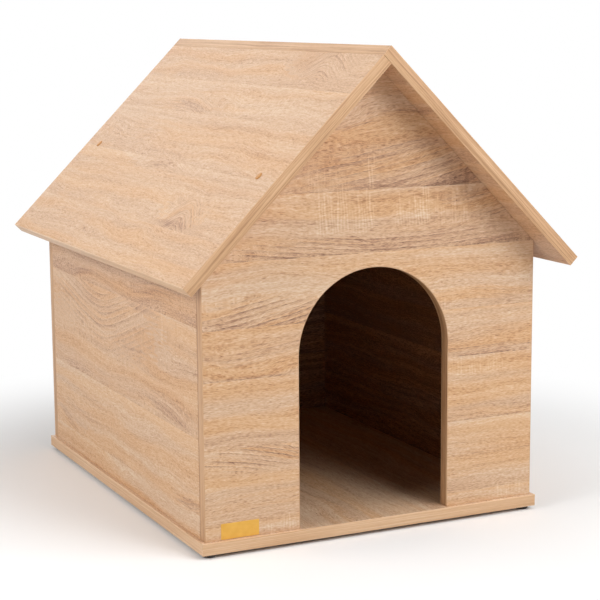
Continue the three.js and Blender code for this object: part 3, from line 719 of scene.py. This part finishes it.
# Sweeps the strip's section along a path. Each point of the path carries "out", the direction away
# from the board, and the mesh that comes out carries "along" and "across" for the grain.
def makeEdgingTree():
    tree, make, given = shapeTree("edging strip", {
        "Path": "Geometry", "Width": "Float", "Thickness": "Float", "Round": "Float", "Round Steps": "Int",
        "Finish": "Material"})
    path = make.first("GeometryNodeMeshToCurve", {"Mesh": given["Path"]})
    out = make.first("GeometryNodeInputNamedAttribute", {"Name": "out"}, data_type="FLOAT_VECTOR")
    path = make.first("GeometryNodeSetCurveNormal", {"Curve": path, "Normal": out}, mode="FREE")
    length = make.node("GeometryNodeSplineParameter").outputs["Length"]
    path = stored(make, path, "along", length)

    inputs = {"Width": given["Thickness"], "Height": given["Width"]}
    section = make.first("GeometryNodeCurvePrimitiveQuadrilateral", inputs, mode="RECTANGLE")
    place = make.first("GeometryNodeInputPosition")
    outer = make.math("GREATER_THAN", make.split(place)[0], 0)
    inputs = {"Curve": section, "Count": given["Round Steps"], "Radius": make.times(outer, given["Round"])}
    section = make.first("GeometryNodeFilletCurve", inputs, mode="POLY")
    shift = make.combine(make.times(given["Thickness"], 0.5), 0, 0)
    section = make.first("GeometryNodeSetPosition", {"Geometry": section, "Offset": shift})
    section = stored(make, section, "across", make.split(place)[1])

    inputs = {"Curve": path, "Profile Curve": section, "Fill Caps": True}
    swept = make.first("GeometryNodeCurveToMesh", inputs)
    endTree(make, smoothed(make, swept, 35), given["Finish"])
    return tree


def newPiece(name, mesh):
    piece = bpy.data.objects.new(name, mesh)
    bpy.context.scene.collection.objects.link(piece)
    return piece


def shapePiece(piece, tree, **inputs):  # runs a tree on a piece once and leaves the plain mesh it makes
    modifier = piece.modifiers.new("shape", "NODES")
    modifier.node_group = tree
    identifiers = {item.name.replace(" ", ""): item.identifier for item in tree.interface.items_tree}
    for name, value in inputs.items():
        modifier[identifiers[name[0].upper() + name[1:]]] = value
    piece.update_tag()
    shaped = piece.evaluated_get(bpy.context.evaluated_depsgraph_get())
    mesh = bpy.data.meshes.new_from_object(shaped)
    piece.modifiers.remove(modifier)
    piece.data = mesh


def settle(piece, slot, *replaced):  # what every finished piece needs
    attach(piece, body)
    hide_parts(*replaced)


def carry(mesh, name, kind, values):  # gives each point of a mesh its own value
    mesh.attributes.new(name, kind, "POINT")
    field = "vector" if kind == "FLOAT_VECTOR" else "value"
    mesh.attributes[name].data.foreach_set(field, values)


edgingTree = makeEdgingTree()
edgingMaterial = makeEdgingMaterial()
stripNodes = []  # a strip's place in this list seeds its grain


def addStrip(node, stops):  # stops are (place on the board's edge, direction away from the board)
    mesh = bpy.data.meshes.new(node)
    mesh.from_pydata([place for place, out in stops], [(i, i + 1) for i in range(len(stops) - 1)], [])
    carry(mesh, "out", "FLOAT_VECTOR", [value for place, out in stops for value in out])
    paler = next(tone for where, tone in edgingLook["paler"].items() if where in node)
    carry(mesh, "paler", "FLOAT", [paler] * len(stops))
    carry(mesh, "strip", "FLOAT", [len(stripNodes)] * len(stops))
    stripNodes.append(node)
    strip = newPiece(f"{node}_strip", mesh)
    shapePiece(strip, edgingTree, width=boardThickness, thickness=edgingLook["thickness"],
               round=edgingLook["round"], roundSteps=edgingLook["roundSteps"], finish=edgingMaterial)
    settle(strip, "oak_edging", node)


def addStraightStrip(node, run, out):  # run is the axis that the strip follows
    low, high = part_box(node)
    half = (high - low) / 2
    back = middleOf(node) - out * abs(half.dot(out))  # the middle of the face on the board
    addStrip(node, [(back - run * half.dot(run), out), (back + run * half.dot(run), out)])


def addFloorStrips():
    for end, sign in endSigns.items():
        addStraightStrip(f"floor_edging_{end}", acrossX, sign * acrossY)
    for side, sign in sideSigns.items():
        addStraightStrip(f"floor_edging_{side}", acrossY, sign * acrossX)


def addGableStrips():
    for end, side in endsAndSides:
        addStraightStrip(f"{end}_gable_edging_{side}", upright, sideSigns[side] * acrossX)


def addRoofStrips():
    for side in sideSigns:
        for end, sign in endSigns.items():
            node = f"{side}_roof_edging_{end}"
            low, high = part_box(node)
            shift = (low.y - high.y) / 2 * sign * acrossY
            addStrip(node, [(stop + shift, sign * acrossY) for stop in slopeEnds(node)])
        ridgeEnd, eaveEnd = slopeEnds(f"{side}_roof_edging_front")
        addLengthwise(f"{side}_roof_edging_eave", eaveEnd, roofDown[side])
        if side == "right":  # the right panel runs over the left one, so the ridge is its end
            addLengthwise(f"{side}_roof_edging_ridge", ridgeEnd, -roofDown[side])


def addLengthwise(node, edge, out):  # edge is a place on the strip's outer face
    low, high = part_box(node)
    back = edge - out * edgingLook["thickness"]
    addStrip(node, [(Vector((back.x, y, back.z)), out) for y in (low.y, high.y)])


def addDoorwayStrip():
    low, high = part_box("doorway_edging")
    radius = high.x  # the strip's back lies on the sawn edge
    springHeight = high.z - radius
    y = (low.y + high.y) / 2
    stops = [(Vector((-radius, y, low.z)), acrossX)]
    for i in range(edgingLook["archSteps"] + 1):
        angle = math.pi * (1 - i / edgingLook["archSteps"])
        out = Vector((-math.cos(angle), 0, -math.sin(angle)))
        stops.append((Vector((0, y, springHeight)) - out * radius, out))
    stops.append((Vector((radius, y, low.z)), -acrossX))
    addStrip("doorway_edging", stops)


addFloorStrips()
addGableStrips()
addRoofStrips()
addDoorwayStrip()
print("edging strips are on")


# Small unevenness for plastic and plated metal, from 0 to 1, in cells of Size millimetres.
def makeMottleGroup():
    inputs = {"X": 0, "Y": 0, "Z": 0, "Size": 1}
    tree, make, given, result = shaderGroup("mottle", inputs, {"Mottle": "value"})
    place = [make.over(given[axis], given["Size"]) for axis in ("X", "Y", "Z")]
    make.feed(result["Mottle"], make.noise(*place, 3.0, 0.6))
    return tree


mottleGroup = makeMottleGroup()


def mottled(make, size):
    x, y, z = make.split(make.objectPlace())
    place = {axis: make.times(value, perMetre) for axis, value in (("x", x), ("y", y), ("z", z))}
    return make.group(mottleGroup, size=size, **place)["Mottle"]


finishes = {  # tones run from the dullest patches to the brightest, size is theirs in mm
    "glide plastic": {"tones": [(0.2, (38, 30, 27)), (0.8, (66, 54, 48))], "metallic": 0,
                      "roughness": 0.55, "spread": 0.2, "size": 0.8, "bump": 0.00003},
    "cover plastic": {"tones": [(0.2, (178, 118, 54)), (0.8, (214, 154, 84))], "metallic": 0,
                      "roughness": 0.42, "spread": 0.15, "size": 1.5, "bump": 0.00002},
    "zinc steel": {"tones": [(0.2, (150, 152, 154)), (0.8, (206, 208, 210))], "metallic": 1,
                   "roughness": 0.34, "spread": 0.25, "size": 1.2, "bump": 0.00002},
    "zinc alloy": {"tones": [(0.2, (126, 128, 132)), (0.8, (176, 178, 182))], "metallic": 1,
                   "roughness": 0.48, "spread": 0.3, "size": 0.9, "bump": 0.00004},
    "bare plate": {"tones": [(0.2, (224, 166, 62)), (0.8, (238, 186, 84))], "metallic": 0,
                   "roughness": 0.4, "spread": 0.12, "size": 14, "bump": 0.00002},
}


def makeFinish(name):
    look = finishes[name]
    material, make, surface = newMaterial(name)
    mottle = mottled(make, look["size"])
    make.feed(surface.inputs["Base Color"], make.ramp(mottle, look["tones"]))
    make.feed(surface.inputs["Metallic"], look["metallic"])
    make.feed(surface.inputs["Roughness"], make.plus(look["roughness"], make.centred(mottle), look["spread"]))
    bumpInto(make, surface, mottled(make, look["size"] / 3), 0.5, look["bump"])
    return material


def makeBeechMaterial():
    material, make, surface = newMaterial("beech")
    x, y, z = (make.times(value, perMetre) for value in make.split(make.objectPlace()))
    grain = make.noise(make.times(x, 1 / 2), make.times(y, 1 / 6), make.times(z, 1 / 1.5), 2.0)
    tones = [(0.3, (196, 152, 110)), (0.7, (226, 188, 146))]
    make.feed(surface.inputs["Base Color"], make.ramp(grain, tones))
    make.feed(surface.inputs["Roughness"], make.plus(0.6, grain, 0.2))
    bumpInto(make, surface, grain, 0.5, 0.0001)
    return material


finishMaterials = {name: makeFinish(name) for name in finishes}
beechMaterial = makeBeechMaterial()


# Turns rows of (radius, height) about Z, from the foot to the top, with a point on the axis at each
# end. A radius may be a function of the angle, as for a hexagon or a thread.
def turnedMesh(name, rows, sides):
    vertices, faces, rings = [], [], []
    for radius, height in rows:
        ring = []
        for i in range(sides if radius else 1):
            angle = 2 * math.pi * i / sides
            reach = radius(angle) if callable(radius) else radius
            ring.append(len(vertices))
            vertices.append((reach * math.cos(angle), reach * math.sin(angle), height))
        rings.append(ring)
    for lower, upper in zip(rings, rings[1:]):
        for i in range(sides):
            corners = [ring[k % sides % len(ring)] for ring, k in
                       ((lower, i), (lower, i + 1), (upper, i + 1), (upper, i))]
            faces.append(list(dict.fromkeys(corners)))
    mesh = bpy.data.meshes.new(name)
    mesh.from_pydata(vertices, [], faces)
    return mesh


def hexagon(acrossFlats):
    return lambda angle: acrossFlats / 2 / math.cos(angle % (math.pi / 3) - math.pi / 6)


def rounded(radius, height, round, steps, rising=True):  # a quarter round in to or out from a rim
    angles = [math.pi / 2 * i / steps for i in range(steps + 1)]
    if rising:
        return [(radius - round * (1 - math.cos(a)), height - round * (1 - math.sin(a))) for a in angles]
    return [(radius - round * (1 - math.sin(a)), height + round * (1 - math.cos(a))) for a in angles]


# Places copies of one piece on points that carry "aim", the way that the piece's top looks.
def makeCopiesTree():
    sockets = {"Places": "Geometry", "Pattern": "Object", "Finish": "Material"}
    tree, make, given = shapeTree("fitted copies", sockets)
    aim = make.first("GeometryNodeInputNamedAttribute", {"Name": "aim"}, data_type="FLOAT_VECTOR")
    turn = make.first("FunctionNodeAlignRotationToVector", {"Vector": aim}, axis="Z")
    pattern = make.node("GeometryNodeObjectInfo", {"Object": given["Pattern"]}).outputs["Geometry"]
    inputs = {"Points": given["Places"], "Instance": smoothed(make, pattern, 32), "Rotation": turn}
    endTree(make, make.first("GeometryNodeInstanceOnPoints", inputs), given["Finish"])
    return tree


copiesTree = makeCopiesTree()


def addCopies(name, mesh, places, finish, slot):  # places are node: (place, the way its top looks)
    mesh.materials.append(finishMaterials[finish])
    pattern = newPiece(f"{name}_pattern", mesh)
    points = bpy.data.meshes.new(name)
    points.from_pydata([place for place, aim in places.values()], [], [])
    carry(points, "aim", "FLOAT_VECTOR", [value for place, aim in places.values() for value in aim])
    piece = newPiece(name, points)
    shapePiece(piece, copiesTree, pattern=pattern, finish=finishMaterials[finish])
    bpy.data.objects.remove(pattern)
    settle(piece, slot, *places)


glideLook = {"radius": 0.010, "height": 0.0057, "rimRound": 0.0025, "topRound": 0.0006,
             "nailRadius": 0.0014, "nailPoint": 0.0028, "sides": 48}


def footOf(node):  # the middle of an upright piece's foot, and how high its top is
    low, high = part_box(node)
    middle = middleOf(node)
    return Vector((middle.x, middle.y, low.z)), high.z


def addGlides():
    look = glideLook
    places = {}
    for end, side in endsAndSides:
        foot, top = footOf(f"glide_{end}_{side}")
        places[f"glide_{end}_{side}"] = (foot, upright)
    rows = [(0, 0), *rounded(look["radius"], 0, look["rimRound"], 6, rising=False),
            *rounded(look["radius"], look["height"], look["topRound"], 3),
            (look["nailRadius"], look["height"]), (look["nailRadius"], top - look["nailPoint"]), (0, top)]
    addCopies("glides", turnedMesh("glide", rows, look["sides"]), places, "glide plastic", "glide_plastic")


coverLook = {"radius": 0.0062, "rim": 0.0005, "crown": 0.0008, "steps": 8, "pegFlats": 0.0038,
             "pegLength": 0.0025, "aboveBoard": 0.0003, "sides": 48}
screwLook = {"length": 0.050, "headRadius": 0.005, "headRim": 0.0006, "headDepth": 0.003,
             "neckRadius": 0.0035, "neckLength": 0.008, "coreRadius": 0.0026, "ridge": 0.0007,
             "pitch": 0.003, "rowsPerPitch": 8, "tipRadius": 0.001, "tipLength": 0.003, "socketFlats": 0.004,
             "socketDepth": 0.004, "socketChamfer": 0.0004, "sides": 24, "sink": 0.0002}


def roofPlace(side, node, height):  # on a fastener's axis, at a height over the roof panel's underside
    foot = slopeEnds(f"{side}_roof_edging_front")[1] - roofOut[side] * boardThickness / 2
    middle = middleOf(node)
    down = (middle - foot).dot(roofDown[side])
    place = foot + roofDown[side] * down + roofOut[side] * height
    return Vector((place.x, middle.y, place.z))


def addScrewCovers():
    look = coverLook
    places = {}
    for end, side in endsAndSides:
        node = f"screw_cover_{end}_{side}"
        places[node] = (roofPlace(side, node, boardThickness + look["aboveBoard"]), roofOut[side])
    peg = hexagon(look["pegFlats"])
    angles = [math.pi / 2 * i / look["steps"] for i in range(look["steps"])]
    dome = [(look["radius"] * math.cos(a), look["rim"] + look["crown"] * math.sin(a)) for a in angles]
    rows = [(0, -look["pegLength"]), (peg, -look["pegLength"]), (peg, 0), (look["radius"], 0), *dome,
            (0, look["rim"] + look["crown"])]
    mesh = turnedMesh("screw cover", rows, look["sides"])
    addCopies("screw_covers", mesh, places, "cover plastic", "cover_plastic")


def threadAt(height):  # the radius round a screw's core at one height, with the thread's ridge on it
    look = screwLook
    def radius(angle):
        turns = (height / look["pitch"] + angle / (2 * math.pi)) % 1
        return look["coreRadius"] + look["ridge"] * max(0, 1 - 4 * abs(turns - 0.5))
    return radius


def screwMesh():  # the head's face is at zero and the tip below it
    look = screwLook
    neckEnd = -look["headDepth"] - look["neckLength"]
    coreTop = neckEnd - (look["neckRadius"] - look["coreRadius"])
    coreFoot = -look["length"] + look["tipLength"]
    turns = int((coreTop - coreFoot) / look["pitch"])
    step = look["pitch"] / look["rowsPerPitch"]
    thread = [(threadAt(coreFoot + i * step), coreFoot + i * step)
              for i in range(1, turns * look["rowsPerPitch"])]
    socket = hexagon(look["socketFlats"])
    wide = hexagon(look["socketFlats"] + 2 * look["socketChamfer"])
    head, rim, core, neck = (look[size] for size in ("headRadius", "headRim", "coreRadius", "neckRadius"))
    rows = [(0, -look["length"]), (look["tipRadius"], -look["length"]), (core, coreFoot), *thread,
            (core, coreTop), (neck, neckEnd), (neck, -look["headDepth"]), (head, -rim), (head, -rim / 3),
            (head - rim / 3, 0), (wide, 0), (socket, -look["socketChamfer"]),
            (socket, -look["socketDepth"]), (0, -look["socketDepth"] - look["socketFlats"] / 6)]
    return turnedMesh("confirmat screw", rows, look["sides"])


def addScrews():
    places = {}
    for end, side in endsAndSides:
        for node in (f"floor_screw_{end}_{side}", f"floor_screw_{side}_wall_{end}"):
            places[node] = (footOf(node)[0], -upright)
        node = f"roof_screw_{end}_{side}"
        places[node] = (roofPlace(side, node, boardThickness - screwLook["sink"]), roofOut[side])
    addCopies("confirmat_screws", screwMesh(), places, "zinc steel", "zinc_steel")


def dressFasteners():
    for name in nodes:
        if name.startswith("cam_bolt"):
            dress(name, finishMaterials["zinc steel"])
        elif name.startswith("cam"):
            dress(name, finishMaterials["zinc alloy"])
        elif "dowel" in name:
            dress(name, beechMaterial)


addGlides()
addScrewCovers()
addScrews()
dressFasteners()
print("glides, covers and fasteners are fitted")

plateLook = {  # a bare plate low on the front gable
    "left": 0.025,  # from the gable's left edge
    "width": 0.060,
    "foot": 0.0008,  # above the floor panel
    "height": 0.0235,
    "thickness": 0.0004,
    "round": 0.0012,
    "cornerSteps": 5,
}


def plateOutline(inset):  # the plate's rounded outline about its middle, drawn in by inset
    look = plateLook
    radius = look["round"] - inset
    points = []
    for quarter, (right, top) in enumerate(((1, 1), (-1, 1), (-1, -1), (1, -1))):
        for i in range(look["cornerSteps"] + 1):
            angle = math.pi / 2 * (quarter + i / look["cornerSteps"])
            points.append((right * (look["width"] / 2 - look["round"]) + radius * math.cos(angle),
                           top * (look["height"] / 2 - look["round"]) + radius * math.sin(angle)))
    return points


def addPlate():
    look = plateLook
    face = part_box("front_gable_panel")[0].y
    left, foot = bodyLow.x + look["left"], floorHigh.z + look["foot"]
    middle = Vector((left + look["width"] / 2, face, foot + look["height"] / 2))
    bevel = look["thickness"] / 2
    vertices = [middle + Vector((x, -depth, z))
                for inset, depth in ((0, 0), (0, look["thickness"] - bevel), (bevel, look["thickness"]))
                for x, z in plateOutline(inset)]
    count = len(vertices) // 3
    faces = [list(range(count))[::-1], list(range(2 * count, 3 * count))]
    for start in (0, count):
        for i in range(count):
            corners = [start + i, start + (i + 1) % count]
            faces.append([*corners, corners[1] + count, corners[0] + count])
    mesh = bpy.data.meshes.new("front plate")
    mesh.from_pydata(vertices, [], faces)
    mesh.materials.append(finishMaterials["bare plate"])
    plate = newPiece("front_plate", mesh)
    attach(plate, body)


addPlate()
print("plate is on")

stageLook = {"floorSize": 14.0, "pale": 0.95, "bounce": 0.7, "fadeFrom": 0.42, "fadeTo": 1.0}
studioLook = {
    "aim": (0, 0, 0.36),  # the middle of the house
    "worldLevel": 0.06,
    "lamps": {  # name: (place, size, watts)
        "overhead lamp": ((0.0, 0.0, 3.2), 2.6, 28),
        "left lamp": ((-3.0, 0.2, 2.4), 2.4, 44),
        "low left lamp": ((-3.2, -0.9, 1.5), 1.6, 40),
        "front lamp": ((1.8, -2.6, 2.5), 3.0, 103),
        "low front lamp": ((0.8, -2.9, 2.2), 1.4, 20),
        "rear lamp": ((0.4, 3.2, 1.3), 1.8, 15),
    },
}


def seenRays(make):  # 1 for what the camera sees, straight, in a reflection or through glass
    rays = make.node("ShaderNodeLightPath").outputs
    mirrored = make.math("MAXIMUM", rays["Is Glossy Ray"], rays["Is Transmission Ray"])
    return rays["Is Camera Ray"], make.math("MAXIMUM", rays["Is Camera Ray"], mirrored)


def makeStage():
    half = stageLook["floorSize"] / 2
    mesh = bpy.data.meshes.new("stage floor")
    around = [(-half, -half, 0), (half, -half, 0), (half, half, 0), (-half, half, 0)]
    mesh.from_pydata(around, [], [(0, 1, 2, 3)])
    floor = newPiece("stage_floor", mesh)
    material, make, surface = newMaterial("stage floor")
    cameraRay, seen = seenRays(make)
    pale, bounce = ((level,) * 3 + (1,) for level in (stageLook["pale"], stageLook["bounce"]))
    make.feed(surface.inputs["Base Color"], make.mix(seen, bounce, pale))
    make.feed(surface.inputs["Roughness"], 1.0)
    make.feed(surface.inputs["Specular IOR Level"], 0.0)
    away = make.node("ShaderNodeVectorMath", {0: make.objectPlace()}, operation="LENGTH").outputs["Value"]
    far = make.times(seen, make.step(away, stageLook["fadeFrom"], stageLook["fadeTo"]))
    white = make.first("ShaderNodeEmission", {"Color": (1, 1, 1, 1), "Strength": 1.0})
    lit = make.first("ShaderNodeMixShader", {0: far, 1: surface.outputs[0], 2: white})
    under = make.times(make.node("ShaderNodeNewGeometry").outputs["Backfacing"], cameraRay)
    clear = make.first("ShaderNodeBsdfTransparent")
    shown = make.first("ShaderNodeMixShader", {0: under, 1: lit, 2: clear})
    make.feed(material.node_tree.nodes["Material Output"].inputs["Surface"], shown)
    mesh.materials.append(material)


def makeLamps():
    for name, (place, size, watts) in studioLook["lamps"].items():
        light = bpy.data.lights.new(name, "AREA")
        light.shape = "SQUARE"
        light.size = size
        light.energy = watts
        lamp = bpy.data.objects.new(name, light)
        lamp.location = place
        lamp.rotation_euler = (Vector(studioLook["aim"]) - Vector(place)).to_track_quat("-Z", "Y").to_euler()
        lamp.visible_camera = False
        bpy.context.scene.collection.objects.link(lamp)


def makeWorld():
    world = bpy.data.worlds.new("studio")
    world.use_nodes = True
    bpy.context.scene.world = world
    make = NodeMaker(world.node_tree)
    soft = world.node_tree.nodes["Background"]
    make.feed(soft.inputs["Color"], (1, 1, 1, 1))
    make.feed(soft.inputs["Strength"], studioLook["worldLevel"])
    white = make.first("ShaderNodeBackground", {"Color": (1, 1, 1, 1), "Strength": 1.0})
    both = make.first("ShaderNodeMixShader", {0: seenRays(make)[1], 1: soft.outputs[0], 2: white})
    make.feed(world.node_tree.nodes["World Output"].inputs["Surface"], both)


makeStage()
makeLamps()
makeWorld()
bpy.context.scene.view_settings.view_transform = "Standard"
print("stage and light are set")
